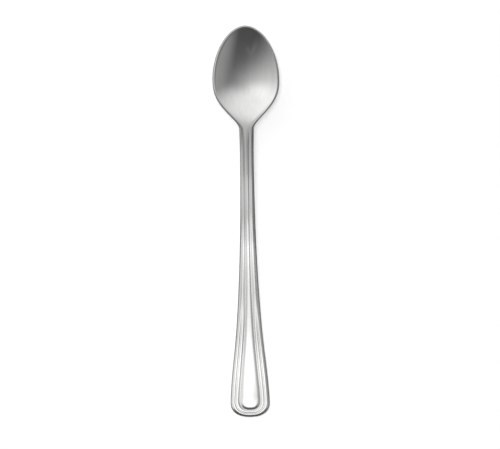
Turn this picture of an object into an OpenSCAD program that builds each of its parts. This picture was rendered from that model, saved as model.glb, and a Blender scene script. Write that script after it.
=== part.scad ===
// Iced tea spoon: a long spoon of polished stainless steel, lying on a table with its hollow upwards.
// The bowl's tip is towards +Y and the end of the handle towards -Y.
// The origin is on the table, under the middle of the spoon.
// Places along the spoon are distances from the bowl's tip.

/* [Overall] */
// Length of the whole spoon, from the tip of the bowl to the end of the handle
spoon_l = 190; // [176:1:210]

/* [Bowl] */
// Length of the bowl, from its tip to the neck
bowl_l = 50; // [45:0.5:56]
// Width of the bowl at its widest place
bowl_w = 32.5; // [27:0.5:37]
// Distance from the bowl's tip to its widest and deepest place
bowl_front_l = 26; // [22:0.5:29]
// Depth of the hollow below the crest of the rim
bowl_depth = 7; // [5.6:0.1:8.4]
// Wall at the deepest place
bowl_wall = 1.4; // [1:0.1:2]
// Wall at the outer edge of the rim
rim_t = 1.3; // [1:0.05:1.6]
// Width of the rim's band, from the edge to the crease where the hollow starts
rim_w = 2.2; // [1.4:0.1:2.8]
// How far the rim's band slopes down towards the hollow
rim_fall = 0.5; // [0.2:0.05:0.8]
// Radius of the rounded outer edge of the rim
rim_round_r = 0.8; // [0.4:0.05:0.95]
// How much higher the rim is at the tip than beside the deepest place
tip_rise = 0.9; // [0:0.1:2]

/* [Neck] */
// Length of the neck, from the bowl to the narrowest place of the stem
neck_l = 12; // [9:0.5:16]
// Width of the neck where the bowl ends
neck_w = 7.1; // [6.2:0.1:8.5]
// Thickness of the neck where the bowl ends
neck_t = 3.5; // [2.6:0.1:4.2]
// Height of the neck's upper face above the table, where the bowl ends
neck_h = 11.6; // [11:0.1:13]

/* [Stem] */
// Width of the stem at its narrowest place
stem_w = 6.7; // [5.8:0.1:8]
// Thickness of the stem at the top of its arch
stem_t = 3.1; // [2.4:0.1:3.8]
// Height of the top of the arch above the table
arch_h = 15.6; // [14:0.1:18]
// Distance from the bowl's tip to the top of the arch
arch_l = 88; // [80:1:98]

/* [Handle] */
// Length of the broad part of the handle, from the stem to the end
handle_l = 46; // [40:1:58]
// Width of the handle at its widest place
handle_w = 19.1; // [16:0.1:22]
// Thickness of the handle at its end
handle_t = 2.2; // [1.8:0.1:2.8]
// Length of the rounded end
end_l = 7.2; // [6:0.1:9]
// Width of the handle halfway along its flare
flare_w = 12.7; // [10.5:0.1:14]
// Distance from the end to that place
flare_l = 42.4; // [36:0.2:48]
// Length of the flat face under the end that the handle rests on
foot_l = 14; // [10:0.5:18]

/* [Pattern] */
// Width of the border round the panel, where the handle is widest
border_w = 4.5; // [3.8:0.1:5.2]
// Width of the border in front of the panel, at the end of the handle
border_end_w = 4; // [3.4:0.1:4.8]
// Width of each outer bead along the stem
stem_bead_w = 2.35; // [1.9:0.05:2.6]
// Depth of the grooves between the beads and beside the panel
groove_d = 0.55; // [0.3:0.05:0.8]
// Depth of the fine line that parts the border's two beads
line_d = 0.22; // [0.1:0.02:0.36]
// Length of that line along each side, from the end of the handle to where it has faded out
line_l = 62; // [54:1:72]
// How far the outer beads curve down at the handle's edge
edge_fall = 1; // [0.5:0.05:1.2]
// Width of the panel's rounded shoulder
panel_round_w = 0.9; // [0.5:0.05:1.3]
// How much higher the panel is along its middle than at its shoulders
panel_crown = 0.35; // [0:0.05:0.6]

/* [Hidden] */

// Height of the rim's crest beside the deepest place, which then just touches the table
rim_h = bowl_depth + bowl_wall;
// The hollow's own outline, inside the rim's band
hollow_w = bowl_w - 2 * rim_w;
hollow_front_l = bowl_front_l - rim_w;
// The hollow ends in a soft V a little past the bowl, between the first ends of the beads
vee_share = 0.08;
hollow_l = bowl_l + neck_w * vee_share;
// Ends of the neck and of the stem
neck_end = bowl_l + neck_l;
stem_end = spoon_l - handle_l;
// The widest place of the handle, where the rounded end starts
wide_at = spoon_l - end_l;
foot_at = spoon_l - foot_l;
// The handle's underside dips this far below the table's plane before the foot is cut flat
foot_cut_share = 0.07;
foot_cut = handle_t * foot_cut_share;
// How far the underside curves up at the edges of the neck, the arch and the foot
belly_shares = [0.28, 0.3, 0.15];
neck_belly = neck_t * belly_shares[0];
stem_belly = stem_t * belly_shares[1];
foot_belly = handle_t * belly_shares[2];

// Fullness of the outline's curves: 2 would be an ellipse
tip_curve_share = 1.9;
end_curve_share = 2.35;
shoulder_curve_share = 2.6;
neck_curve_share = 1.7;
// Slopes of the outline and of the side view, as rise over run
flare_slope_share = 0.0825;
wide_slope_share = 0.03;
neck_slope_share = 0.16;
border_slope_share = 0.014;
// How far the border has widened halfway along the flare
flare_border_share = 0.78;
// Where the beads rise out of the bowl's end, before and after it along the neck
beads_shares = [0.2, 0.5];
// Where the fine line has its whole depth, along the flare from the end
line_full_share = 0.85;
// Where the wall starts to thicken, on the way from the widest place to the neck
thicken_share = 0.3;
// How far from the ends the fans of cross lines have their centres and begin
tip_fan_share = 0.36;
end_fan_share = 0.5;
end_reach_share = 1.3;
// Places across the border: the outer bead, the fine line and the inner bead
line_share = 0.55;
outer_shares = [0, 0.06, 0.25, 0.5, 0.8];
inner_shares = [0, 0.15, 0.4, 0.7, 0.93, 1];
// Places across half of the panel, from its edge to its middle
panel_shares = [0.04, 0.14, 0.4, 0.7, 1];
// Places across the rim's rounding
round_shares = [0, 0.3, 1];

// Places across half of the spoon, and steps along each stretch
half_count = 15;
tip_count = 14;
shoulder_count = 18;
neck_count = 6;
stem_count = 32;
flare_count = 20;
end_count = 13;
// Angle of the first place beside the tip or the end
first_angle = 3;

// The smooth curve through knots of [place, value, slope], and flat beyond them
function curve_piece(at, a, b) =
    let (run = b[0] - a[0], t = (at - a[0]) / run)
    a[1] + (b[1] - a[1]) * t * t * (3 - 2 * t) + run * t * (1 - t) * (a[2] * (1 - t) - b[2] * t);

function curve(at, knots, i = 0) =
    at <= knots[0][0] ? knots[0][1]
    : i + 1 == len(knots) ? knots[i][1]
    : at <= knots[i + 1][0] ? curve_piece(at, knots[i], knots[i + 1])
    : curve(at, knots, i + 1);

// From 0 at the first place to 1 at the second
function ramp(at, first, last) = curve(at, [[first, 0, 0], [last, 1, 0]]);

function mix(a, b, part) = a + (b - a) * part;

// How full the bowl is behind its widest place: 1 there and 0 where it ends
function rear_share(at, whole_l) =
    let (u = max(0, min(1, (at - bowl_front_l) / (whole_l - bowl_front_l))))
    pow(1 - pow(u, shoulder_curve_share), neck_curve_share);

// Half of the spoon's width, from the bowl's widest place to the handle's
function half_width(at) =
    at < bowl_l ? mix(neck_w / 2, bowl_w / 2, rear_share(at, bowl_l))
    : curve(at, [
        [bowl_l, neck_w / 2, 0],
        [neck_end, stem_w / 2, 0],
        [spoon_l - flare_l, flare_w / 2, flare_slope_share],
        [wide_at, handle_w / 2, wide_slope_share]
    ]);

// Height of the rim's crest and of the beads' crests
function crest_h(at) = curve(at, [
    [0, rim_h + tip_rise, -2 * tip_rise / bowl_front_l],
    [bowl_front_l, rim_h, 0],
    [bowl_l, neck_h, neck_slope_share],
    [arch_l, arch_h, 0],
    [foot_at, handle_t - foot_cut, 0]
]);

function thickness(at) = curve(at, [
    [mix(bowl_front_l, bowl_l, thicken_share), rim_t, 0],
    [bowl_l, neck_t, 0],
    [arch_l, stem_t, 0],
    [foot_at, handle_t, 0]
]);

function belly(at) = curve(at, [
    [bowl_front_l, 0, 0],
    [bowl_l, neck_belly, 0],
    [arch_l, stem_belly, 0],
    [foot_at, foot_belly, 0]
]);

function border(at) = curve(at, [
    [neck_end, stem_bead_w, 0],
    [spoon_l - flare_l, mix(stem_bead_w, border_w, flare_border_share), border_slope_share],
    [wide_at, border_w, 0],
    [spoon_l, border_end_w, 0]
]);

// How far the beads have risen out of the bowl's end, and the fine line out of the stem
function beads_part(at) = ramp(at, bowl_l - neck_l * beads_shares[0], bowl_l + neck_l * beads_shares[1]);
function line_part(at) = ramp(at, spoon_l - line_l, spoon_l - flare_l * line_full_share);

// A dish over the bowl's outline, deepest at the bowl's widest place
function dish(x, at, wide, front_l, whole_l, deep) =
    let (
        n = tip_curve_share,
        along = at < bowl_front_l ? pow((bowl_front_l - at) / front_l, n)
            : 1 - pow(rear_share(at, whole_l), n),
        across = pow(abs(x) / (wide / 2), n)
    )
    deep * max(0, 1 - pow(along + across, 2 / n));

// Fall from a bead's crest at v, from 0 at its outer foot to 1 at its inner foot
function bead_fall(v, outer_d, inner_d) =
    (1 - sqrt(max(0, 1 - pow(2 * v - 1, 2)))) * (v < 0.5 ? outer_d : inner_d);

function border_fall(v, part) = mix(
    bead_fall(v, edge_fall, groove_d),
    v < line_share ? bead_fall(v / line_share, edge_fall, line_d)
        : bead_fall((v - line_share) / (1 - line_share), line_d, groove_d),
    part
);

// Fall over half of the panel, at a distance in from the groove round it
function panel_fall(inward, half) =
    let (
        t = max(0, 1 - inward / min(panel_round_w, half)),
        full = half / (handle_w / 2 - border_w),
        off = 1 - inward / half
    )
    groove_d * (1 - sqrt(max(0, 1 - t * t))) - panel_crown * full * (1 - off * off);

function pattern_fall(inward, long, at) =
    let (b = border(at))
    inward < b ? border_fall(inward / b, line_part(at)) : panel_fall(inward - b, long - b);

// Fall over the rim's rounded edge and the band inside it
function rim_band_fall(inward) =
    let (t = max(0, 1 - inward / rim_round_r))
    rim_round_r * (1 - sqrt(max(0, 1 - t * t)))
    + rim_fall * max(0, min(1, (inward - rim_round_r) / (rim_w - rim_round_r)));

// Distances in from the edge at which a cross line has its points, over the bowl and over the pattern
function bowl_step(j, long) =
    j < len(round_shares) ? rim_round_r * round_shares[j]
    : j < len(round_shares) + 2 ? mix(rim_round_r, rim_w, (j + 1 - len(round_shares)) / 2)
    : mix(rim_w, long, (j - len(round_shares) - 1) / (half_count - len(round_shares) - 1));

function pattern_step(j, long, at) =
    let (b = border(at), line = len(outer_shares), inner = len(outer_shares) + len(inner_shares))
    j < line ? b * line_share * outer_shares[j]
    : j < inner ? b * mix(line_share, 1, inner_shares[j - line])
    : mix(b, long, panel_shares[j - inner]);

// A cross line is [half width, place at the edge, place at the middle]
function cross_long(line) = norm([line[0], line[1] - line[2]]);

function cross_points(line, upper) =
    let (long = cross_long(line), at = line[1], beads = beads_part(at))
    [
        for (j = [-half_count : half_count])
            let (
                k = half_count - abs(j),
                inward = mix(bowl_step(k, long), pattern_step(k, long, at), beads),
                keep = 1 - inward / long,
                x = sign(j) * line[0] * keep,
                d = mix(line[2], line[1], keep)
            )
            [
                x,
                spoon_l / 2 - d,
                crest_h(d) + (upper ? -upper_fall(x, d, inward, long, at, beads) : -under_fall(x, d, keep))
            ]
    ];

function upper_fall(x, d, inward, long, at, beads) = mix(
    rim_band_fall(inward) + dish(x, d, hollow_w, hollow_front_l, hollow_l, bowl_depth - rim_fall),
    pattern_fall(inward, long, at),
    beads
);

function under_fall(x, d, keep) =
    thickness(d) + dish(x, d, bowl_w, bowl_front_l, bowl_l, bowl_depth + bowl_wall - rim_t)
    - belly(d) * keep * keep;

// Place of a cross line's middle, for one whose edge is near the tip or the end
function fan(out, reach, stop) = stop + (reach - stop) * pow(out / reach, reach / (reach - stop));

tip_angles = [for (i = [0 : tip_count]) mix(first_angle, 90, i / tip_count)];
end_angles = [for (i = [0 : end_count]) mix(90, first_angle, i / end_count)];

function oval(angle, n, half, long) =
    [half * pow(sin(angle), 2 / n), long * (1 - pow(cos(angle), 2 / n))];

// The bowl's cross lines run from the neck to the tip
bowl_lines = [
    for (i = [shoulder_count : -1 : 1])
        let (at = mix(bowl_front_l, bowl_l, i / shoulder_count))
        [half_width(at), at, at],
    for (i = [tip_count : -1 : 0])
        let (
            p = oval(tip_angles[i], tip_curve_share, bowl_w / 2, bowl_front_l),
            out = i == 0 ? 0 : p[1]
        )
        [p[0], out, fan(out, bowl_front_l, bowl_front_l * tip_fan_share)]
];

function straight_lines(first, last, count) = [
    for (i = [0 : count])
        let (at = mix(first, last, i / count))
        [half_width(at), at, at]
];

// The handle's run from the stem to its rounded end
end_reach = handle_w * end_reach_share;
function end_middle(at) =
    let (out = spoon_l - at)
    out > end_reach ? at : spoon_l - fan(out, end_reach, handle_w * end_fan_share);

handle_lines = [
    for (i = [0 : flare_count])
        let (at = mix(stem_end, wide_at, i / flare_count))
        [half_width(at), at, end_middle(at)],
    for (i = [1 : end_count])
        let (
            p = oval(end_angles[i], end_curve_share, handle_w / 2, end_l),
            at = i == end_count ? spoon_l : spoon_l - p[1]
        )
        [p[0], at, end_middle(at)]
];

// A closed solid over cross lines; where it is folded, its last line wraps round the tip or the end
module sheet(lines, folded) {
    wide = 2 * half_count + 1;
    last = len(lines) - 1;
    // A point's number in row i and column j, which is 0 along the middle
    function up(i, j) = i * wide + half_count + j;
    function low(i, j) = (last + 1) * wide + up(i, j);
    columns = [-half_count : half_count - 1];
    points = concat(
        [for (line = lines) each cross_points(line, true)],
        [for (line = lines) each cross_points(line, false)]
    );
    surfaces = [
        for (i = [0 : last - 1], j = columns) each [
            [up(i, j), up(i, j + 1), up(i + 1, j + 1)],
            [up(i, j), up(i + 1, j + 1), up(i + 1, j)],
            [low(i, j), low(i + 1, j + 1), low(i, j + 1)],
            [low(i, j), low(i + 1, j), low(i + 1, j + 1)]
        ]
    ];
    edges = [
        for (i = [0 : last - 1], j = [half_count]) each [
            [up(i, j), low(i, j), low(i + 1, j)],
            [up(i, j), low(i + 1, j), up(i + 1, j)],
            [up(i, -j), low(i + 1, -j), low(i, -j)],
            [up(i, -j), up(i + 1, -j), low(i + 1, -j)]
        ]
    ];
    start = [
        for (j = columns) each [
            [up(0, j), low(0, j), low(0, j + 1)],
            [up(0, j), low(0, j + 1), up(0, j + 1)]
        ]
    ];
    cut = [
        for (j = columns) each [
            [up(last, j), low(last, j + 1), low(last, j)],
            [up(last, j), up(last, j + 1), low(last, j + 1)]
        ]
    ];
    fold = concat(
        [[up(last, 0), up(last, 1), up(last, -1)], [low(last, 0), low(last, -1), low(last, 1)]],
        [
            for (j = [1 : half_count - 1]) each [
                [up(last, -j), up(last, j), up(last, j + 1)],
                [up(last, -j), up(last, j + 1), up(last, -j - 1)],
                [low(last, -j), low(last, j + 1), low(last, j)],
                [low(last, -j), low(last, -j - 1), low(last, j + 1)]
            ]
        ],
        [
            [up(last, -half_count), up(last, half_count), low(last, half_count)],
            [up(last, -half_count), low(last, half_count), low(last, -half_count)]
        ]
    );
    polyhedron(points, concat(surfaces, edges, start, folded ? fold : cut));
}

// The bowl's cross lines run the other way along the spoon, so it is made as its own mirror image
module bowl() {
    color([0.72, 0.72, 0.73])
        mirror([1, 0, 0])
            sheet(bowl_lines, true);
}

module neck() {
    color([0.62, 0.62, 0.62])
        sheet(straight_lines(bowl_l, neck_end, neck_count), false);
}

module stem() {
    color([0.76, 0.76, 0.75])
        sheet(straight_lines(neck_end, stem_end, stem_count), false);
}

module handle() {
    color([0.88, 0.88, 0.88])
        difference() {
            sheet(handle_lines, true);
            translate([-handle_w, -spoon_l, -handle_w])
                cube([2 * handle_w, spoon_l, handle_w]);
        }
}

bowl();
neck();
stem();
handle();
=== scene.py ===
# %% [markdown]
# # A long iced tea spoon, stamped from one piece of steel
#
# The real spoon starts as a flat blank of stainless steel. Rollers thin it at the
# bowl, and dies press the arch of the stem, strike the beads and the panel of the
# handle, and push the hollow of the bowl down. Then it is polished. This script goes
# the same way: a flat grid is cut to the spoon's outline, given its thickness, and
# pressed into shape by one modifier for each die.
#
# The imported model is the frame. It stands on the table at z = 0, with the tip of the
# bowl towards +Y, and every length below is in metres.

# %% Load the frame
import math

import bpy
import numpy as np
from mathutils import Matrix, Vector


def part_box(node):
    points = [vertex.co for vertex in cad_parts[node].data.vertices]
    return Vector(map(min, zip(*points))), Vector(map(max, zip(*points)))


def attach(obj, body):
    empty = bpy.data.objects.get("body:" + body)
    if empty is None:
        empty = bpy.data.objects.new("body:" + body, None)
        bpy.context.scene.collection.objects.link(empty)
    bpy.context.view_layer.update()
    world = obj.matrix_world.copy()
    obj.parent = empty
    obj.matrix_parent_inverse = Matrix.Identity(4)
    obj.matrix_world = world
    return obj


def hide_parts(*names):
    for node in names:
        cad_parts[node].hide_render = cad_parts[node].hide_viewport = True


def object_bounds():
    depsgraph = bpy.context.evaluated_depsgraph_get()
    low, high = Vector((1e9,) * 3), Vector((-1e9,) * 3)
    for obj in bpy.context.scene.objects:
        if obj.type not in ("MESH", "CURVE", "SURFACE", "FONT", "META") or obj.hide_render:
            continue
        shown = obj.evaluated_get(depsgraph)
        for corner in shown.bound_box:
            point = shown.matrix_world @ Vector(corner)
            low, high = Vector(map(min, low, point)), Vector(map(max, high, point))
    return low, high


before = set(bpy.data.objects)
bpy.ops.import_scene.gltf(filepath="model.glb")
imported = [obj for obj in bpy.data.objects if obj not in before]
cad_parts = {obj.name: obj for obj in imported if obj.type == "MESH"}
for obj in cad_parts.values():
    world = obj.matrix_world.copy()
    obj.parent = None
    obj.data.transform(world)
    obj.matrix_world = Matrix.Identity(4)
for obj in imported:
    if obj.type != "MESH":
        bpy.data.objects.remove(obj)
cad_box = [list(corner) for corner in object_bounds()]
print("nodes:", sorted(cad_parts))
print("box of the frame:", cad_box)

# %% [markdown]
# ## The sizes of the spoon
#
# A place along the spoon is its distance from the tip of the bowl, because a spoon is
# drawn and measured from there. Every length could be typed in. The main ones are
# read from the frame instead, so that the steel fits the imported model, and each of
# the others stands in the cell that needs it first.

# %% Read the main lengths from the frame
MM = 0.001


def node_size(node):
    low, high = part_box(node)
    return high - low


def in_mm(*lengths):
    """Lengths in millimetres, rounded for printing."""
    return [round(float(length) / MM, 3) for length in lengths]


SPOON_L = cad_box[1][1] - cad_box[0][1]
BOWL_W, BOWL_L = node_size("bowl").xy
NECK_W, NECK_L = node_size("neck").xy
HANDLE_W, HANDLE_L = node_size("handle").xy
NECK_END = BOWL_L + NECK_L
STEM_END = SPOON_L - HANDLE_L
print("length of the spoon:", in_mm(SPOON_L))
print("width and length of the bowl:", in_mm(BOWL_W, BOWL_L))
print("of the neck:", in_mm(NECK_W, NECK_L), "of the handle:", in_mm(HANDLE_W, HANDLE_L))

# %% [markdown]
# ## Curves through a few points
#
# A designer draws the outline and the side view of a spoon with a spline through a
# few points, and sets the slope at each. A Blender curve could be drawn the same way.
# Here the spline is a function, so that every row of the mesh can ask for its own
# width and height.


# %% One function for all the curves
def mix(a, b, part):
    return a + (b - a) * part


def curve(at, knots):
    """The smooth curve through knots of (place, value, slope), level beyond them."""
    at = np.asarray(at, float)
    found = np.where(at <= knots[0][0], knots[0][1], knots[-1][1])
    for (a, value_a, slope_a), (b, value_b, slope_b) in zip(knots, knots[1:]):
        t = (at - a) / (b - a)
        piece = mix(value_a, value_b, t * t * (3 - 2 * t))
        piece = piece + (b - a) * t * (1 - t) * (slope_a * (1 - t) - slope_b * t)
        found = np.where((at > a) & (at <= b), piece, found)
    return found


def ramp(at, first, last):
    """0 before first, 1 after last, and a smooth rise between them."""
    return curve(at, [(first, 0, 0), (last, 1, 0)])


print("a ramp from 0 to 1, at its quarters:", ramp([0.25, 0.5, 0.75], 0, 1))

# %% The outline
BOWL_FRONT_L = 26 * MM  # from the tip to the widest and deepest place
SHOULDER_CURVE, NECK_CURVE = 2.6, 1.7  # roundness of the shoulders, and of where they end
STEM_W = 6.7 * MM
FLARE_W, FLARE_L, FLARE_SLOPE = 12.7 * MM, 42.4 * MM, 0.0825  # where the handle spreads
END_L, WIDE_SLOPE = 7.2 * MM, 0.03  # the rounded end, behind the widest place
WIDE_AT = SPOON_L - END_L


def rear_share(at, whole_l):
    """How full the bowl is behind its widest place: 1 there and 0 where it ends."""
    u = np.clip((np.asarray(at, float) - BOWL_FRONT_L) / (whole_l - BOWL_FRONT_L), 0, 1)
    return (1 - u**SHOULDER_CURVE) ** NECK_CURVE


def half_width(at):
    at = np.asarray(at, float)
    bowl = mix(NECK_W / 2, BOWL_W / 2, rear_share(at, BOWL_L))
    rest = curve(at, [
        (BOWL_L, NECK_W / 2, 0),
        (NECK_END, STEM_W / 2, 0),
        (SPOON_L - FLARE_L, FLARE_W / 2, FLARE_SLOPE),
        (WIDE_AT, HANDLE_W / 2, WIDE_SLOPE),
    ])
    return np.where(at < BOWL_L, bowl, rest)


widths = half_width([BOWL_FRONT_L, NECK_END, WIDE_AT])
print("half widths at the bowl, stem and handle:", in_mm(*widths))

# %% The height of the upper side
BOWL_DEPTH, BOWL_WALL = 7 * MM, 1.4 * MM
RIM_H = BOWL_DEPTH + BOWL_WALL
TIP_RISE = 0.9 * MM  # how much higher the rim is at the tip
NECK_H, NECK_SLOPE = 11.6 * MM, 0.16
ARCH_H, ARCH_L = 15.59 * MM, 88 * MM  # the top of the arch, and its place
HANDLE_T, FOOT_L = 2.2 * MM, 14 * MM  # the foot is the flat end that rests on the table
FOOT_AT = SPOON_L - FOOT_L
FOOT_CUT = 0.07 * HANDLE_T  # how far the foot would reach below the table


def crest_h(at):
    return curve(at, [
        (0, RIM_H + TIP_RISE, -2 * TIP_RISE / BOWL_FRONT_L),
        (BOWL_FRONT_L, RIM_H, 0),
        (BOWL_L, NECK_H, NECK_SLOPE),
        (ARCH_L, ARCH_H, 0),
        (FOOT_AT, HANDLE_T - FOOT_CUT, 0),
    ])


print("height of the rim and of the arch:", in_mm(RIM_H, crest_h(ARCH_L)))

# %% The thickness and the underside
RIM_T, NECK_T, STEM_T = 1.3 * MM, 3.5 * MM, 3.1 * MM
THICKEN_SHARE = 0.3  # how far along the bowl's rear the wall starts to thicken
NECK_BELLY, STEM_BELLY, FOOT_BELLY = 0.28, 0.3, 0.15  # shares of the thickness there


def thickness(at):
    return curve(at, [
        (mix(BOWL_FRONT_L, BOWL_L, THICKEN_SHARE), RIM_T, 0),
        (BOWL_L, NECK_T, 0),
        (ARCH_L, STEM_T, 0),
        (FOOT_AT, HANDLE_T, 0),
    ])


def belly(at):
    """How far the underside curves up at the edges."""
    return curve(at, [
        (BOWL_FRONT_L, 0, 0),
        (BOWL_L, NECK_BELLY * NECK_T, 0),
        (ARCH_L, STEM_BELLY * STEM_T, 0),
        (FOOT_AT, FOOT_BELLY * HANDLE_T, 0),
    ])


print("thickness and belly at the arch:", in_mm(thickness(ARCH_L), belly(ARCH_L)))

# %% [markdown]
# ## The rows of the blank
#
# The blank is the flat shape that is cut from sheet before any die strikes it. Its
# outline could be filled with faces of any kind. Here it is a grid whose rows become
# lines across the spoon and whose columns keep a fixed place in the pattern: the
# edge, the crest of a bead, the bottom of a groove. So the columns run round the ends
# too, as the beads do, the rows fan out there, and the first row and the last fold
# shut on the middle line.


# %% Helpers for the rounded ends
def fan(out, reach, stop):
    """Place of a row's middle, for one whose edge is near the tip or the end."""
    return stop + (reach - stop) * (out / reach) ** (reach / (reach - stop))


def oval(angles, fullness, half, long):
    """Half widths and distances from the end, on an ellipse that is fuller above 2."""
    wide = half * np.sin(angles) ** (2 / fullness)
    return wide, long * (1 - np.cos(angles) ** (2 / fullness))


# %% Rows over the front of the bowl
TIP_CURVE = 1.9
TIP_ROWS, TIP_FAN_SHARE = 36, 0.36
tip_angles = np.linspace(0, math.pi / 2, TIP_ROWS + 1)
tip_half, tip_out = oval(tip_angles, TIP_CURVE, BOWL_W / 2, BOWL_FRONT_L)
tip_middle = fan(tip_out, BOWL_FRONT_L, TIP_FAN_SHARE * BOWL_FRONT_L)
print("the first row's middle lies this far in:", in_mm(tip_middle[0]))

# %% Rows over the rest
SHOULDER_ROWS, NECK_ROWS, STEM_ROWS, FLARE_ROWS, END_ROWS = 44, 16, 64, 44, 48
straight_at = np.concatenate([
    np.linspace(BOWL_FRONT_L, BOWL_L, SHOULDER_ROWS + 1)[1:],
    np.linspace(BOWL_L, NECK_END, NECK_ROWS + 1)[1:],
    np.linspace(NECK_END, STEM_END, STEM_ROWS + 1)[1:],
    np.linspace(STEM_END, WIDE_AT, FLARE_ROWS + 1)[1:],
])

END_CURVE = 2.35
end_angles = np.linspace(math.pi / 2, 0, END_ROWS + 1)[1:]
end_half, end_out = oval(end_angles, END_CURVE, HANDLE_W / 2, END_L)
rear_edge = np.concatenate([straight_at, SPOON_L - end_out])

END_REACH = 1.3 * HANDLE_W  # the rows fan out over this last length
END_STOP = 0.5 * HANDLE_W  # the last row's middle lies this far in
rear_left = SPOON_L - rear_edge
rear_middle = np.where(
    rear_left > END_REACH,
    rear_edge,
    SPOON_L - fan(np.minimum(rear_left, END_REACH), END_REACH, END_STOP),
)

row_half = np.concatenate([tip_half, half_width(straight_at), end_half])
row_edge = np.concatenate([tip_out, rear_edge])
row_middle = np.concatenate([tip_middle, rear_middle])
row_long = np.hypot(row_half, row_edge - row_middle)
ROWS = len(row_half) - 1
print("rows:", ROWS, "from and to:", in_mm(row_edge[0], row_edge[-1]))

# %% [markdown]
# ## The columns of the blank
#
# A die's sharp forms need more vertices than its smooth ones. Evenly spaced columns
# would do if there were very many. Instead the columns crowd at the rounded rim over
# the bowl, and at the beads and grooves over the handle, where the surface bends
# most. Between the two they slide from one spacing to the other, as the beads rise
# out of the end of the bowl.

# %% Widths of the border and the rim
STEM_BEAD_W = 2.45 * MM
BORDER_W, BORDER_CORNER_W, BORDER_END_W = 4.6 * MM, 5 * MM, 3.4 * MM
FLARE_BORDER_SHARE, BORDER_SLOPE = 0.78, 0.014  # how wide it has become at the flare
CORNER_SHARE, CORNER_SLOPE = 0.8, -0.71  # where the border turns round the end
RIM_W, RIM_TIP_W = 1.6 * MM, 1.2 * MM


def border(at):
    """Width of the border, from the edge to the groove beside the panel."""
    return curve(at, [
        (NECK_END, STEM_BEAD_W, 0),
        (SPOON_L - FLARE_L, mix(STEM_BEAD_W, BORDER_W, FLARE_BORDER_SHARE), BORDER_SLOPE),
        (FOOT_AT, BORDER_W, 0),
        (SPOON_L - CORNER_SHARE * END_L, BORDER_CORNER_W, 0),
        (SPOON_L, BORDER_END_W, CORNER_SLOPE),
    ])


def rim_w(at):
    """Width of the rim, which is narrower at the tip."""
    return curve(at, [(0, RIM_TIP_W, 0), (BOWL_FRONT_L, RIM_W, 0)])


print("border at the foot and rim at the tip:", in_mm(border(FOOT_AT), rim_w(0)))

# %% Where the beads and the fine line rise
BEADS_FROM, BEADS_TO = BOWL_L - 0.2 * NECK_L, BOWL_L + 0.5 * NECK_L
LINE_FROM, LINE_TO = SPOON_L - 62 * MM, SPOON_L - 0.85 * FLARE_L


def beads_part(at):
    """0 over the bowl and 1 where the beads have risen."""
    return ramp(at, BEADS_FROM, BEADS_TO)


def line_part(at):
    """0 along the stem and 1 where the fine line has its whole depth."""
    return ramp(at, LINE_FROM, LINE_TO)


print("beads rise over", in_mm(BEADS_FROM, BEADS_TO), "the line over", in_mm(LINE_FROM, LINE_TO))

# %% Places across a row
RIM_ROUND_SHARE = 0.55  # of the rim's width, from the edge to its crest
LINE_SHARE = 0.55  # of the border's width, from the edge to the fine line
rim_outer_shares = np.linspace(0, 1, 8)[:-1]
rim_inner_shares = np.array([0, 0.3, 0.6, 0.88])
hollow_shares = np.array([
    0, 0.015, 0.04, 0.08, 0.13, 0.19, 0.25, 0.31, 0.38,
    0.45, 0.52, 0.59, 0.66, 0.73, 0.8, 0.87, 0.94, 1,
])
outer_bead_shares = np.linspace(0, 1, 10)[:-1]
inner_bead_shares = np.linspace(0, 1, 10)
panel_shares = np.array([0.03, 0.07, 0.12, 0.2, 0.31, 0.43, 0.57, 0.71, 0.85, 1])


def places_across(long, at):
    """Distances in from the edge at which one row has its columns."""
    rim = float(rim_w(at))
    over_bowl = np.concatenate([
        rim * RIM_ROUND_SHARE * rim_outer_shares,
        rim * mix(RIM_ROUND_SHARE, 1, rim_inner_shares),
        mix(rim, long, hollow_shares),
    ])
    wide = float(border(at))
    over_pattern = np.concatenate([
        wide * LINE_SHARE * outer_bead_shares,
        wide * mix(LINE_SHARE, 1, inner_bead_shares),
        mix(wide, long, panel_shares),
    ])
    return mix(over_bowl, over_pattern, float(beads_part(at)))


HALF_COLUMNS = len(rim_outer_shares) + len(rim_inner_shares) + len(hollow_shares) - 1
print("columns in each half:", HALF_COLUMNS)

# %% [markdown]
# ## Cut the blank
#
# The grid starts as a primitive with the right number of rows and columns. By hand
# each row would be scaled and slid to its place, one after another. Here every row
# has another width and bends at the ends, so one pass over the vertices does it, as
# the cutting die does in one stroke. The two halves of the first row then lie on each
# other, and those of the last row too, and merging by distance closes both folds.

# %% Start from a grid
bpy.ops.object.select_all(action="DESELECT")
bpy.ops.mesh.primitive_grid_add(x_subdivisions=2 * HALF_COLUMNS, y_subdivisions=ROWS, size=1)
spoon = bpy.context.object
spoon.name = "spoon"
print("grid of", len(spoon.data.vertices), "vertices")


# %% Read and write many values at once
def read(items, field, width=1, kind=np.float32):
    """What each item holds in a field, as one number or as a row of several."""
    values = np.zeros(width * len(items), kind)
    items.foreach_get(field, values)
    return values.reshape(-1, width) if width > 1 else values


def remember(name, values):
    """Keeps one number for each vertex of the spoon, under a name."""
    kept = spoon.data.attributes.new(name, "FLOAT", "POINT")
    kept.data.foreach_set("value", values.astype(np.float32))


corners = read(spoon.data.vertices, "co", 3)
print("the grid reaches from", corners.min(0), "to", corners.max(0), "before it is cut")

# %% Give each vertex its place on the blank
column = np.rint((corners[:, 0] + 0.5) * 2 * HALF_COLUMNS).astype(int) - HALF_COLUMNS
row = np.rint((0.5 - corners[:, 1]) * ROWS).astype(int)
steps = np.array([places_across(long, at) for long, at in zip(row_long, row_edge)])
inward = steps[row, HALF_COLUMNS - np.abs(column)]
keep = 1 - inward / row_long[row]
across = np.sign(column) * row_half[row] * keep
place = mix(row_middle[row], row_edge[row], keep)
blank = np.stack([across, SPOON_L / 2 - place, np.zeros(len(place))], 1)
spoon.data.vertices.foreach_set("co", blank.astype(np.float32).ravel())
print("blank from", in_mm(*blank.min(0)), "to", in_mm(*blank.max(0)))

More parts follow.
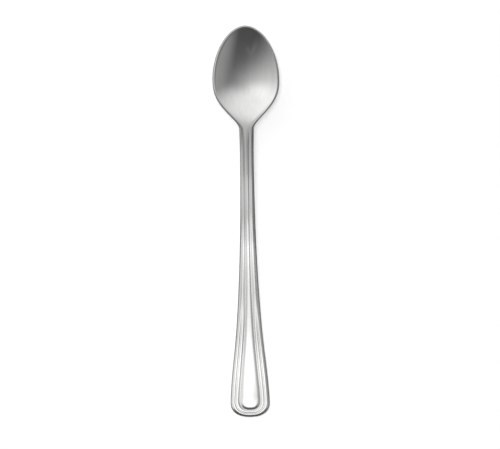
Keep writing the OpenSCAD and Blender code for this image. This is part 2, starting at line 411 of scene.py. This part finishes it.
# %% Remember where each vertex lies in the pattern
remember("inward", inward)
remember("long", row_long[row])
remember("edge_at", row_edge[row])
spoon.data.update()
print("kept three numbers for each of", len(inward), "vertices")

# %% Fold the ends shut and give the blank its thickness
TOUCHING = 0.001 * MM
bpy.ops.object.mode_set(mode="EDIT")
bpy.ops.mesh.select_all(action="SELECT")
bpy.ops.mesh.remove_doubles(threshold=TOUCHING)
bpy.ops.mesh.extrude_region_move(TRANSFORM_OT_translate={"value": (0, 0, -RIM_T)})
bpy.ops.mesh.select_all(action="SELECT")
bpy.ops.mesh.normals_make_consistent(inside=False)
bpy.ops.object.mode_set(mode="OBJECT")
print("slab of", len(spoon.data.vertices), "vertices and", len(spoon.data.polygons), "faces")

# %% [markdown]
# ## Press the slab
#
# Each die is a Displace modifier that moves vertices up or down. Its vertex group
# says how far each one moves, from 0 to 1, and its strength is the deepest move. By
# hand such a group would be weight painted. Here the weights come from the side view
# and the outline. When a modifier is applied, that die has struck.

# %% Read what each vertex of the slab remembers
slab = read(spoon.data.vertices, "co", 3).astype(float)
upper = slab[:, 2] > -RIM_T / 2
across = slab[:, 0]
place = SPOON_L / 2 - slab[:, 1]
inward, long, edge_at = (
    read(spoon.data.attributes[name].data, "value").astype(float)
    for name in ("inward", "long", "edge_at")
)
keep = 1 - inward / long
beads = beads_part(edge_at)
print("upper vertices:", int(upper.sum()), "lower:", int((~upper).sum()))

# %% A die
LEAST_SHIFT = 1e-9


def press(name, shift):
    """Moves the vertices of the spoon up by shift, with one applied Displace modifier."""
    depth = float(np.abs(shift).max())
    moved = np.nonzero(np.abs(shift) > LEAST_SHIFT)[0]
    group = spoon.vertex_groups.new(name=name)
    for index in moved:
        group.add([int(index)], float(abs(shift[index]) / depth), "REPLACE")
    die = spoon.modifiers.new(name, "DISPLACE")
    die.direction = "Z"
    die.mid_level = 0
    die.strength = depth if shift.sum() > 0 else -depth
    die.vertex_group = name
    bpy.ops.object.modifier_apply(modifier=name)
    spoon.vertex_groups.remove(spoon.vertex_groups[name])
    print(name, "moves", len(moved), "vertices by up to", round(depth / MM, 2), "mm")


# %% [markdown]
# ### The arch and the underside
#
# Seen from the side, the stem rises from the bowl to the top of its arch and comes
# down to the flat foot of the handle. The wall is thickest at the neck, where a spoon
# is bent most, and thin at the rim and at the end of the handle. A curve could bend
# the slab. Three dies do it here, because they keep each vertex at its place in the
# outline, as a real press does.

# %% Press the arch, the wall and the rounded underside
press("arch", crest_h(place))
press("wall", np.where(upper, 0, RIM_T - thickness(place)))
press("underside", np.where(upper, 0, belly(place) * keep**2))

# %% [markdown]
# ### The bowl
#
# The hollow and the outside of the bowl are two dishes over the same outline, deepest
# at the widest place. The hollow starts inside the band of the rim, and the rim's
# outer edge is rounded over, so that it is pleasant in the mouth. Part of a sphere
# would be quicker, but the bowl is an egg with a long rear, so the depth follows the
# outline.

# %% A dish
RIM_FALL, RIM_ROUND_D = 0.3 * MM, 0.65 * MM  # from the rim's crest, inwards and outwards
CREST_CURVE, EDGE_CURVE = 1.7, 1.4  # roundness of a crest's gentle side and of its edge side


def dish(x, at, wide, front_l, whole_l, deep, rear_fullness):
    """Depth of a hollow that is deepest at the widest place of the bowl."""
    front = (np.maximum(0, BOWL_FRONT_L - at) / front_l) ** TIP_CURVE
    along = np.where(at < BOWL_FRONT_L, front, 1 - rear_share(at, whole_l) ** TIP_CURVE)
    side = (np.abs(x) / (wide / 2)) ** TIP_CURVE
    fullness = mix(2 / TIP_CURVE, rear_fullness, ramp(at, BOWL_FRONT_L, whole_l))
    return deep * np.maximum(0, 1 - (along + side) ** fullness)


def rim_fall(v):
    """Fall from the rim's crest at v, from 0 at the outer edge to 1 at the hollow."""
    outer = np.maximum(0, 1 - v / RIM_ROUND_SHARE)
    inner = np.clip((v - RIM_ROUND_SHARE) / (1 - RIM_ROUND_SHARE), 0, 1)
    return RIM_ROUND_D * outer**EDGE_CURVE + RIM_FALL * inner**CREST_CURVE


print("the rim falls to its edge and to the hollow by", in_mm(rim_fall(0), rim_fall(1)))

# %% Press the bowl
HOLLOW_W = BOWL_W - 2 * RIM_W
HOLLOW_FRONT_L = BOWL_FRONT_L - RIM_TIP_W
HOLLOW_L = BOWL_L + 0.08 * NECK_W  # the hollow fades out a little way into the neck
HOLLOW_D = BOWL_DEPTH - RIM_FALL
REAR_FULLNESS = 0.55
hollow = dish(across, place, HOLLOW_W, HOLLOW_FRONT_L, HOLLOW_L, HOLLOW_D, REAR_FULLNESS)
outside = dish(across, place, BOWL_W, BOWL_FRONT_L, BOWL_L, RIM_H - RIM_T, 2 / TIP_CURVE)
press("hollow", np.where(upper, -(1 - beads) * hollow, 0))
press("outside", np.where(upper, 0, -outside))
press("rim", np.where(upper, -(1 - beads) * rim_fall(inward / rim_w(edge_at)), 0))

# %% [markdown]
# ### The beads and the panel
#
# Two rounded beads frame the stem and join round the end of the handle. Further along
# the handle a fine line parts each of them in two. Between the beads lies a bead that
# widens into a long smooth panel, a little higher along its middle. Bevelled edges
# could make the grooves. One profile across the spoon makes them here, because it can
# change smoothly from the stem's one bead to the border's two.

# %% The sides of a bead
EDGE_FALL = 0.75 * MM
LINE_D = 0.18 * MM
STEM_GROOVE_D, GROOVE_D, END_GROOVE_D = 0.15 * MM, 0.2 * MM, 0.34 * MM


def off_crest(v, crest):
    """0 at a bead's crest and 1 at both its feet, for v from 0 at the outer foot to 1."""
    return np.clip(np.where(v < crest, 1 - v / crest, (v - crest) / (1 - crest)), 0, 1)


def edge_side(off):
    return EDGE_FALL * off**EDGE_CURVE


def line_side(off):
    return LINE_D * off**CREST_CURVE


def groove_side(off, deep):
    return deep * off * off * (3 - 2 * off)


def groove_d(at):
    """Depth of the groove beside the panel, which is struck deeper round the end."""
    return curve(at, [
        (NECK_END, STEM_GROOVE_D, 0),
        (FOOT_AT, GROOVE_D, 0),
        (SPOON_L, END_GROOVE_D, 0),
    ])


print("halfway down, the edge and the line have fallen by", in_mm(edge_side(0.5), line_side(0.5)))
print("groove at the stem, foot and end:", in_mm(*groove_d([NECK_END, FOOT_AT, SPOON_L])))

# %% The profile of the border
CREST, OUTER_CREST = 0.5, 0.62  # where a bead has its crest: the outer one leans inwards


def border_fall(v, part, deep):
    """Fall from the beads' crests, for one bead where part is 0 and two where it is 1."""
    off = off_crest(v, CREST)
    one = np.where(v < CREST, edge_side(off), groove_side(off, deep))
    v_outer, v_inner = v / LINE_SHARE, (v - LINE_SHARE) / (1 - LINE_SHARE)
    off_outer, off_inner = off_crest(v_outer, OUTER_CREST), off_crest(v_inner, CREST)
    outer = np.where(v_outer < OUTER_CREST, edge_side(off_outer), line_side(off_outer))
    inner = np.where(v_inner < CREST, line_side(off_inner), groove_side(off_inner, deep))
    return mix(one, np.where(v < LINE_SHARE, outer, inner), part)


print("fall at the fine line:", in_mm(border_fall(LINE_SHARE, 1, GROOVE_D)))

# %% The profile of the panel
PANEL_ROUND_W, PANEL_ROUND_SHARE = 1.3 * MM, 0.45  # its shoulder, at most that share of a half
PANEL_CROWN = 0.35 * MM
PANEL_HALF = HANDLE_W / 2 - BORDER_W  # half the width of the panel where it is widest
LEAST_HALF = 0.01 * MM


def panel_parts(distance_in, half, deep):
    """The fall at the panel's shoulder, and how far its middle stands up."""
    half = np.maximum(half, LEAST_HALF)
    round_w = np.minimum(PANEL_ROUND_W, PANEL_ROUND_SHARE * half)
    off_flat = np.maximum(0, 1 - distance_in / round_w)
    full = half / PANEL_HALF
    off_middle = 1 - distance_in / half
    return groove_side(off_flat, deep), PANEL_CROWN * full * (1 - off_middle * off_middle)


print("the panel's middle stands up by", in_mm(panel_parts(PANEL_HALF, PANEL_HALF, GROOVE_D)[1]))

# %% Press the pattern
wide = border(edge_at)
in_border = inward < wide
deep = groove_d(edge_at)
shoulder, crown = panel_parts(np.maximum(0, inward - wide), long - wide, deep)
beside = border_fall(np.minimum(1, inward / wide), line_part(edge_at), deep)
grooves = np.where(in_border, beside, shoulder)
press("pattern", np.where(upper, -beads * grooves, 0))
press("crown", np.where(upper & ~in_border, beads * crown, 0))

# %% [markdown]
# ### Painted shade at the edge and the neck, and the grooves
#
# The steel's colour is darkened in a band along the cut edge, widest in the corners
# between bowl and neck, and over the neck itself: this is painted shade, which stands
# in for dark reflections there. The bottoms of the grooves are a little darker too. A
# polishing wheel is soft and wide, so it skims over the grooves and the cut edge, and
# these are also duller. Such places could be painted by hand. Here each vertex keeps a
# number for each of the three, from the same curves that shaped it, and the steel
# reads them further down.

# %% Remember the grooves
past_bead = inward > CREST * LINE_SHARE * wide  # beyond the middle of the outer bead
groove = np.where(upper & past_bead, beads * np.clip(grooves / END_GROOVE_D, 0, 1), 0)
remember("groove", groove)
print("vertices low in a groove:", int((groove > 0.5).sum()))

# %% Remember the painted shade along the edge and over the neck
# Painted shade: a dark band along the edge, widest in the corners by the neck; the same band is
# also rougher
EDGE_SHADE_W, CORNER_SHADE_W = 0.7 * MM, 2 * MM
NECK_SHADE_FROM, NECK_SHADE_AT = BOWL_L - 0.5 * NECK_L, BOWL_L + 0.3 * NECK_L
edge_shade_w = curve(edge_at, [
    (BOWL_FRONT_L, EDGE_SHADE_W, 0),
    (BOWL_L, CORNER_SHADE_W, 0),
    (NECK_END, EDGE_SHADE_W, 0),
])
edge_shade_and_rough = np.clip(2 - 2 * inward / edge_shade_w, 0, 1)  # 1 over the outer half, then fading
# Painted shade over the neck: it rises after the bowl and fades along the stem
painted_neck_shade = curve(edge_at, [(NECK_SHADE_FROM, 0, 0), (NECK_SHADE_AT, 1, 0), (ARCH_L, 0, 0)])
remember("edge_shade_and_rough", edge_shade_and_rough)
remember("painted_neck_shade", painted_neck_shade)
print("near the cut edge:", int((edge_shade_and_rough > 0).sum()))
print("round the neck:", int((painted_neck_shade > 0).sum()))

# %% [markdown]
# ### The foot and the lower edge
#
# The end of the handle lies flat on the table, so what reaches below it is pressed
# flat. The lower edge of a stamped spoon is broken with a small rounding all the way
# round, or it would cut a finger. A Bevel modifier would round other edges too, so
# the bevel operator is used on that one loop.


# %% Select by place
def select_only(piece, kind, chosen):
    """Opens edit mode with only the chosen vertices, edges or faces selected."""
    bpy.ops.object.mode_set(mode="EDIT")
    bpy.ops.mesh.select_mode(type=kind)
    bpy.ops.mesh.select_all(action="DESELECT")
    bpy.ops.object.mode_set(mode="OBJECT")
    mesh = piece.data
    items = {"VERT": mesh.vertices, "EDGE": mesh.edges, "FACE": mesh.polygons}[kind]
    items.foreach_set("select", chosen)
    bpy.ops.object.mode_set(mode="EDIT")


# %% Flatten the foot
below = read(spoon.data.vertices, "co", 3)[:, 2] < 0
select_only(spoon, "VERT", below)
bpy.ops.transform.resize(value=(1, 1, 0), center_override=(0, 0, 0))
bpy.ops.object.mode_set(mode="OBJECT")
lowest = read(spoon.data.vertices, "co", 3)[:, 2].min()
print("flattened", int(below.sum()), "vertices, lowest now:", in_mm(lowest))

# %% Round the lower edge
LOWER_ROUND, ROUND_STEPS = 0.35 * MM, 4
outline_below = ~upper & (inward < TOUCHING)
ends = read(spoon.data.edges, "vertices", 2, np.int32)
lower_loop = outline_below[ends].all(1)
select_only(spoon, "EDGE", lower_loop)
bpy.ops.mesh.bevel(offset=LOWER_ROUND, segments=ROUND_STEPS, affect="EDGES", clamp_overlap=True)
bpy.ops.object.mode_set(mode="OBJECT")
bpy.ops.object.shade_smooth()
print("rounded", int(lower_loop.sum()), "edges, now", len(spoon.data.polygons), "faces")

# %% [markdown]
# ## Part the four regions
#
# The library names the bowl, the neck, the stem and the handle, so the steel is parted
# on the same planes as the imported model. Four pieces modelled apart would show seams,
# and on the real spoon the surface runs on across them. So every vertex first keeps
# the normal that it has on the whole spoon, and the parts get those normals back when
# their cuts are closed.

# %% Keep the normals of the whole
normals = read(spoon.data.vertices, "normal", 3)
whole_normal = spoon.data.attributes.new("whole_normal", "FLOAT_VECTOR", "POINT")
whole_normal.data.foreach_set("vector", normals.ravel())
for name in ("inward", "long", "edge_at"):
    spoon.data.attributes.remove(spoon.data.attributes[name])
print("kept", len(normals), "normals")

# %% Separate the regions
REGIONS = {"bowl": (0, BOWL_L), "neck": (BOWL_L, NECK_END), "stem": (NECK_END, STEM_END)}


def work_on(piece):
    """Makes one piece active, and the only one selected."""
    bpy.ops.object.select_all(action="DESELECT")
    piece.select_set(True)
    bpy.context.view_layer.objects.active = piece


parts = {}
for region, (first, last) in REGIONS.items():
    work_on(spoon)
    centres = SPOON_L / 2 - np.array([face.center.y for face in spoon.data.polygons])
    select_only(spoon, "FACE", (centres > first) & (centres < last))
    bpy.ops.mesh.separate(type="SELECTED")
    bpy.ops.object.mode_set(mode="OBJECT")
    parts[region] = next(o for o in bpy.context.selected_objects if o != spoon)
parts["handle"] = spoon
for region, piece in parts.items():
    piece.name = piece.data.name = "spoon_" + region
    print(piece.name, len(piece.data.polygons), "faces")


# %% Close the cuts and give the normals back
def close_and_smooth(piece):
    """Fills the open ends, and shades the rest with the normals of the whole spoon."""
    work_on(piece)
    before = len(piece.data.polygons)
    bpy.ops.object.mode_set(mode="EDIT")
    bpy.ops.mesh.select_all(action="SELECT")
    bpy.ops.mesh.fill_holes(sides=0)
    bpy.ops.object.mode_set(mode="OBJECT")
    kept = read(piece.data.attributes["whole_normal"].data, "vector", 3)
    given = kept[read(piece.data.loops, "vertex_index", kind=np.int32)]
    for face in piece.data.polygons[before:]:
        given[face.loop_start:face.loop_start + face.loop_total] = face.normal
    piece.data.normals_split_custom_set(given.tolist())
    piece.data.attributes.remove(piece.data.attributes["whole_normal"])
    print(piece.name, "closed with", len(piece.data.polygons) - before, "faces")


for piece in parts.values():
    close_and_smooth(piece)

# %% [markdown]
# ## Polished steel
#
# A spoon is polished on a turning felt wheel that runs along it. So its gloss isn't
# that of a mirror: very fine lines run lengthwise, the sheen is a little softer here
# and there, and use adds some hair scratches that lie in all directions. A photograph
# of scratched steel could be laid over it. Noise on Object coordinates is used
# instead, which are metres here, so that a scale of 100 gives grains of about 10 mm
# and the finish has the right size from any distance. The grooves, and the painted
# shade along the edge and over the neck, come from the three attributes, because
# they follow the shape.


# %% Small helpers for nodes
def add_node(tree, kind, **settings):
    node = tree.nodes.new("ShaderNode" + kind)
    for name, value in settings.items():
        setattr(node, name, value)
    return node


def fill(tree, node, **inputs):
    """Fills a node's inputs, by number (i0, i1) or name, with values or other outputs."""
    for name, value in inputs.items():
        key = int(name[1:]) if name[0] == "i" and name[1:].isdigit() else name.replace("_", " ")
        socket = node.inputs[key]
        if isinstance(value, bpy.types.NodeSocket):
            tree.links.new(value, socket)
        else:
            socket.default_value = value
    return node


def math_of(tree, operation, first, second):
    return fill(tree, add_node(tree, "Math", operation=operation), i0=first, i1=second).outputs[0]


def between(tree, value, low, high, to_low, to_high):
    """value, taken from the range low to high to the range to_low to to_high, softly."""
    node = add_node(tree, "MapRange", interpolation_type="SMOOTHSTEP")
    fill(tree, node, Value=value, From_Min=low, From_Max=high, To_Min=to_low, To_Max=to_high)
    return node.outputs["Result"]


# %% The steel and its grain
steel = bpy.data.materials.new("polished_steel")
steel.use_nodes = True
tree = steel.node_tree
shader = fill(tree, tree.nodes["Principled BSDF"], Metallic=1)
where = add_node(tree, "TexCoord").outputs["Object"]


def grain(stretch, turn, scale, detail):
    """Noise on Object coordinates, stretched along the spoon and turned by an angle."""
    turned = add_node(tree, "Mapping")
    fill(tree, turned, Vector=where, Rotation=(0, 0, turn), Scale=(1, stretch, 1))
    noise = add_node(tree, "TexNoise")
    fill(tree, noise, Vector=turned.outputs[0], Scale=scale, Detail=detail)
    return noise.outputs["Fac"]


print("the shader of the steel is", shader.name)

# %% Lines from the polishing wheel and soft patches
NOISE_LOW, NOISE_HIGH = 0.3, 0.7  # nearly all values of a noise lie between these
fine_lines = grain(stretch=0.02, turn=0, scale=2600, detail=3)
broad_lines = grain(stretch=0.03, turn=0, scale=700, detail=2)
patches = grain(stretch=0.5, turn=0, scale=90, detail=3)
print("nodes in the steel so far:", len(tree.nodes))

# %% Hair scratches
SCRATCH_LOW, SCRATCH_HIGH = 0.7, 0.76  # only the peaks of the noise become scratches
SCRATCH_SETS = ((0.5, 900), (-0.35, 1100), (1.3, 800))  # the angle and scale of each set
scratches = 0
for turn, scale in SCRATCH_SETS:
    peaks = grain(stretch=0.012, turn=turn, scale=scale, detail=1)
    line = between(tree, peaks, SCRATCH_LOW, SCRATCH_HIGH, 0, 1)
    scratches = math_of(tree, "ADD", line, scratches)
print("scratches lie at", [turn for turn, scale in SCRATCH_SETS], "radians to the spoon")

# %% Read the grooves, and the painted shade at the edge and the neck
in_groove = add_node(tree, "Attribute", attribute_name="groove").outputs["Fac"]
shaded_rough_edge = add_node(tree, "Attribute", attribute_name="edge_shade_and_rough").outputs["Fac"]
neck_shade_fac = add_node(tree, "Attribute", attribute_name="painted_neck_shade").outputs["Fac"]
print("the steel reads", [n.attribute_name for n in tree.nodes if n.type == "ATTRIBUTE"])

# %% How soft the sheen is
SHEEN_LOW, SHEEN_HIGH = 0.15, 0.21  # roughness of the best and the worst patches
LINES_ADD, SCRATCHES_ADD, UNREACHED_ADD = 0.03, 0.05, 0.1
patchy = between(tree, patches, NOISE_LOW, NOISE_HIGH, SHEEN_LOW, SHEEN_HIGH)
lined = between(tree, fine_lines, NOISE_LOW, NOISE_HIGH, 0, LINES_ADD)
scratched = math_of(tree, "MULTIPLY", scratches, SCRATCHES_ADD)
unreached = math_of(tree, "MULTIPLY", math_of(tree, "ADD", in_groove, shaded_rough_edge), UNREACHED_ADD)
sheen = math_of(tree, "ADD", patchy, lined)
sheen = math_of(tree, "ADD", sheen, scratched)
sheen = math_of(tree, "ADD", sheen, unreached)
fill(tree, shader, Roughness=sheen)
print("roughness from", SHEEN_LOW, "to", SHEEN_HIGH + LINES_ADD, "on the open steel")

# %% How dark the steel is
BRIGHT_STEEL, DARK_STEEL = (0.88, 0.88, 0.87, 1), (0.36, 0.36, 0.355, 1)
GROOVE_DARK, LINES_DARK, EDGE_SHADE_DARK, NECK_SHADE_DARK = 0.1, 0.06, 0.9, 0.62  # shares of dark steel
GROOVE_FROM, MOST_DARK = 0.3, 0.95
groove_dark = between(tree, in_groove, GROOVE_FROM, 1, 0, GROOVE_DARK)
lines_dark = between(tree, broad_lines, NOISE_LOW, NOISE_HIGH, 0, LINES_DARK)
dark = math_of(tree, "ADD", groove_dark, lines_dark)
# Painted shade: the band along the edge and the neck are darkened here
dark = math_of(tree, "ADD", dark, between(tree, shaded_rough_edge, 0, 1, 0, EDGE_SHADE_DARK))
dark = math_of(tree, "ADD", dark, math_of(tree, "MULTIPLY", neck_shade_fac, NECK_SHADE_DARK))
dark = math_of(tree, "MINIMUM", dark, MOST_DARK)
tone = add_node(tree, "Mix", data_type="RGBA")
fill(tree, tone, A=BRIGHT_STEEL, B=DARK_STEEL, Factor=dark)
fill(tree, shader, Base_Color=tone.outputs["Result"])
print("colour from", BRIGHT_STEEL[:3], "to", DARK_STEEL[:3])

# %% Relief of the lines and scratches
RELIEF_D, RELIEF_SHARE = 0.001 * MM, 0.5
SCRATCH_CUT = -0.6  # scratches cut down, by that share of a line's height
relief = math_of(tree, "ADD", fine_lines, math_of(tree, "MULTIPLY", scratches, SCRATCH_CUT))
bump = fill(tree, add_node(tree, "Bump"), Height=relief, Strength=RELIEF_SHARE, Distance=RELIEF_D)
fill(tree, shader, Normal=bump.outputs[0])
print("the steel has", len(tree.nodes), "nodes")

# %% Give the four parts their steel and their place in the frame
for region, piece in parts.items():
    piece.data.materials.clear()
    piece.data.materials.append(steel)
    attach(piece, "root")
    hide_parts(region)
    print(piece.name, "replaces", region)

# %% [markdown]
# ## The table
#
# In the photo the spoon lies on plain white, such as a sheet of paper, which shows
# nothing but a soft shadow. More light on a pale floor would make it white, but it
# would bleach the steel too. So the paper glows a little for the camera, and for the
# steel that mirrors it, and keeps the shadow that the lamps throw.

# %% The paper
PAPER_COLOR, PAPER_GLOW = (0.8, 0.8, 0.8, 1), 0.4
PAPER_SIZE, PAPER_DROP = 12, 0.00002  # just below the foot, so that the two don't flicker
bpy.ops.object.select_all(action="DESELECT")
bpy.ops.mesh.primitive_plane_add(size=PAPER_SIZE, location=(0, 0, -PAPER_DROP))
floor = bpy.context.object
floor.name = "floor"
paper = bpy.data.materials.new("white_paper")
paper.use_nodes = True
paper_tree = paper.node_tree
paper_tree.nodes.clear()
floor.data.materials.append(paper)
print("paper of", PAPER_SIZE, "by", PAPER_SIZE, "m")

# %% The glow of the paper
rays = add_node(paper_tree, "LightPath").outputs
seen = math_of(paper_tree, "MAXIMUM", rays["Is Camera Ray"], rays["Is Glossy Ray"])
seen = math_of(paper_tree, "MAXIMUM", seen, rays["Is Transmission Ray"])
lift = math_of(paper_tree, "MULTIPLY", seen, PAPER_GLOW)
glow = fill(paper_tree, add_node(paper_tree, "Emission"), Strength=lift)
matt = fill(paper_tree, add_node(paper_tree, "BsdfDiffuse"), Color=PAPER_COLOR)
both = add_node(paper_tree, "AddShader")
fill(paper_tree, both, i0=matt.outputs[0], i1=glow.outputs[0])
fill(paper_tree, add_node(paper_tree, "OutputMaterial"), Surface=both.outputs[0])
print("the paper glows by", PAPER_GLOW, "where a ray sees it")

# %% [markdown]
# ## The studio
#
# Polished steel shows the room that it stands in, so most of what the eye takes for
# the bowl's shading is the studio in it. The rear of the hollow faces a bright wall
# beyond the tip, and its front faces the dark side of the room beyond the handle.
# Walls and sheets could be built round the table. Soft lobes of light in the world
# do the same, and can't get between the camera and the spoon.

# %% The world
world = bpy.data.worlds.new("studio")
bpy.context.scene.world = world
world.use_nodes = True
world_tree = world.node_tree
world_tree.nodes.clear()
direction = add_node(world_tree, "TexCoord").outputs["Generated"]


def lobe(azimuth, off, wide, narrow, bright):
    """bright within an angle of narrow of a direction, and none beyond wide, in degrees."""
    azimuth, off = math.radians(azimuth), math.radians(off)
    flat = math.sin(off)
    towards = (flat * math.cos(azimuth), flat * math.sin(azimuth), math.cos(off))
    near = fill(world_tree, add_node(world_tree, "VectorMath", operation="DOT_PRODUCT"),
                i0=direction, i1=towards).outputs["Value"]
    first, last = math.cos(math.radians(wide)), math.cos(math.radians(narrow))
    return between(world_tree, near, first, last, 0, bright)


print("the studio is the world", bpy.context.scene.world.name)

# %% The light of the studio
ROOM_LIGHT = 0.093
LOBES = (
    (106, 95, 126, 0, 1.24),  # the bright wall beyond the tip, which the bowl's rear mirrors
    (66, 75, 75, 20, -0.27),  # its darker right end, in the left of the bowl's rear
    (332, 100, 58, 12, 0.3),  # a paler place on the right, in the left of the bowl's front
    (90, 40, 100, 20, 0.1),  # the ceiling
)
light = ROOM_LIGHT
for azimuth, off, wide, narrow, bright in LOBES:
    light = math_of(world_tree, "ADD", lobe(azimuth, off, wide, narrow, bright), light)
sky = fill(world_tree, add_node(world_tree, "Background"), Strength=light)
fill(world_tree, add_node(world_tree, "OutputWorld"), Surface=sky.outputs[0])
print("lobes of light:", len(LOBES))

# %% [markdown]
# ## The soft boxes
#
# In the photo the panel and the beads of the handle mirror white boxes, while the
# bowl shows none of them. Large area lamps would light both. A grid on a soft box
# lets its light out to the front only, and a small spread does that here: each box
# is seen from the stretch of the handle or stem that it faces.


# %% A soft box
GRID_SPREAD = math.radians(56)


def soft_box(name, place, faces, wide, long, glow):
    """A soft box with a grid, lighting only what it faces; glow is in watts per square metre."""
    bpy.ops.object.light_add(type="AREA", location=place)
    box = bpy.context.object
    box.name = name
    box.data.shape = "RECTANGLE"
    box.data.size, box.data.size_y = wide, long
    box.data.spread = GRID_SPREAD
    box.data.energy = glow * wide * long
    box.rotation_euler = (Vector(place) - Vector(faces)).to_track_quat("Z", "Y").to_euler()
    box.visible_camera = False
    print(name, "of", round(box.data.energy, 5), "W")


# %% Hang the soft boxes
soft_box("handle_lamp", (0, -0.095, 0.12), (0, -0.065, 0), 0.15, 0.1, 0.26)
soft_box("flare_lamp", (-0.008, -0.08, 0.121), (0, -0.055, 0), 0.15, 0.13, 0.17)
soft_box("stem_lamp", (0, 0.003, 0.06), (0, 0.003, 0), 0.11, 0.056, 0.1)
soft_box("left_lamp", (-0.09, -0.085, 0.1), (0, -0.055, 0.005), 0.12, 0.14, 0.16)
soft_box("right_lamp", (0.08, -0.085, 0.1), (0, -0.055, 0.005), 0.1, 0.14, 0.09)

# %% [markdown]
# ## The key lamp
#
# The spoon's shadow is short and soft and lies to its right, so the main lamp stands
# high, a little to the left and beyond the tip. A big area lamp could be it. A sun
# lamp with a wide disc gives the same soft edge all along the spoon. Gloss doesn't
# see it, or its round disc would show in the hollow of the bowl.

# %% Hang the key lamp
KEY_STRENGTH, KEY_DISC = 1.1, math.radians(16)
KEY_FROM = (-0.09, 0.08, 1)
bpy.ops.object.light_add(type="SUN", location=(0, 0, 1))
key_lamp = bpy.context.object
key_lamp.name = "key_lamp"
key_lamp.data.energy = KEY_STRENGTH
key_lamp.data.angle = KEY_DISC
key_lamp.rotation_euler = Vector(KEY_FROM).to_track_quat("Z", "Y").to_euler()
key_lamp.visible_glossy = False
print("the key lamp shines from", KEY_FROM)

# %% [markdown]
# ## The camera
#
# The photo was taken from straight above, from so far away that the raised stem
# isn't enlarged. An orthographic camera would show the same, but a long lens two
# metres up is what a photographer would use. The spoon lies a little crooked in the
# photo, and the part must stay straight, so the camera is turned instead.

# %% The photo's frame
PHOTO_W, PHOTO_H = 500, 449  # pixels
PX_PER_MM = 2.056
LEAN_SLOPE = 0.0135  # pixels to the left for each pixel up the spoon
TIP_Y = 26.3
MIDDLE_X, MIDDLE_Y = 245.2, 30  # a point on the spoon's middle line, in pixels
TIP_X = MIDDLE_X - LEAN_SLOPE * (MIDDLE_Y - TIP_Y)


def table_length(pixels):
    """The length on the table that so many pixels of the photo show."""
    return pixels / PX_PER_MM * MM


print("table in the photo:", in_mm(table_length(PHOTO_W), table_length(PHOTO_H)))

# %% Set up the camera
DISTANCE, SENSOR_W = 2.0, 36
lean = math.atan(LEAN_SLOPE)
right = Vector((math.cos(lean), -math.sin(lean), 0))
up = Vector((math.sin(lean), math.cos(lean), 0))
tip = Vector((0, SPOON_L / 2, 0))
to_middle = table_length(PHOTO_W / 2 - TIP_X) * right - table_length(PHOTO_H / 2 - TIP_Y) * up
bpy.ops.object.camera_add()
camera = bpy.context.object
camera.name = "camera"
camera.data.sensor_width = SENSOR_W
camera.data.lens = SENSOR_W * DISTANCE / table_length(PHOTO_W)
camera.location = tip + to_middle + Vector((0, 0, DISTANCE))
camera.rotation_euler = (0, 0, -lean)
bpy.context.scene.camera = camera
bpy.context.scene.view_settings.view_transform = "Standard"
print("camera at", in_mm(*camera.location), "with a lens of", round(camera.data.lens, 1))
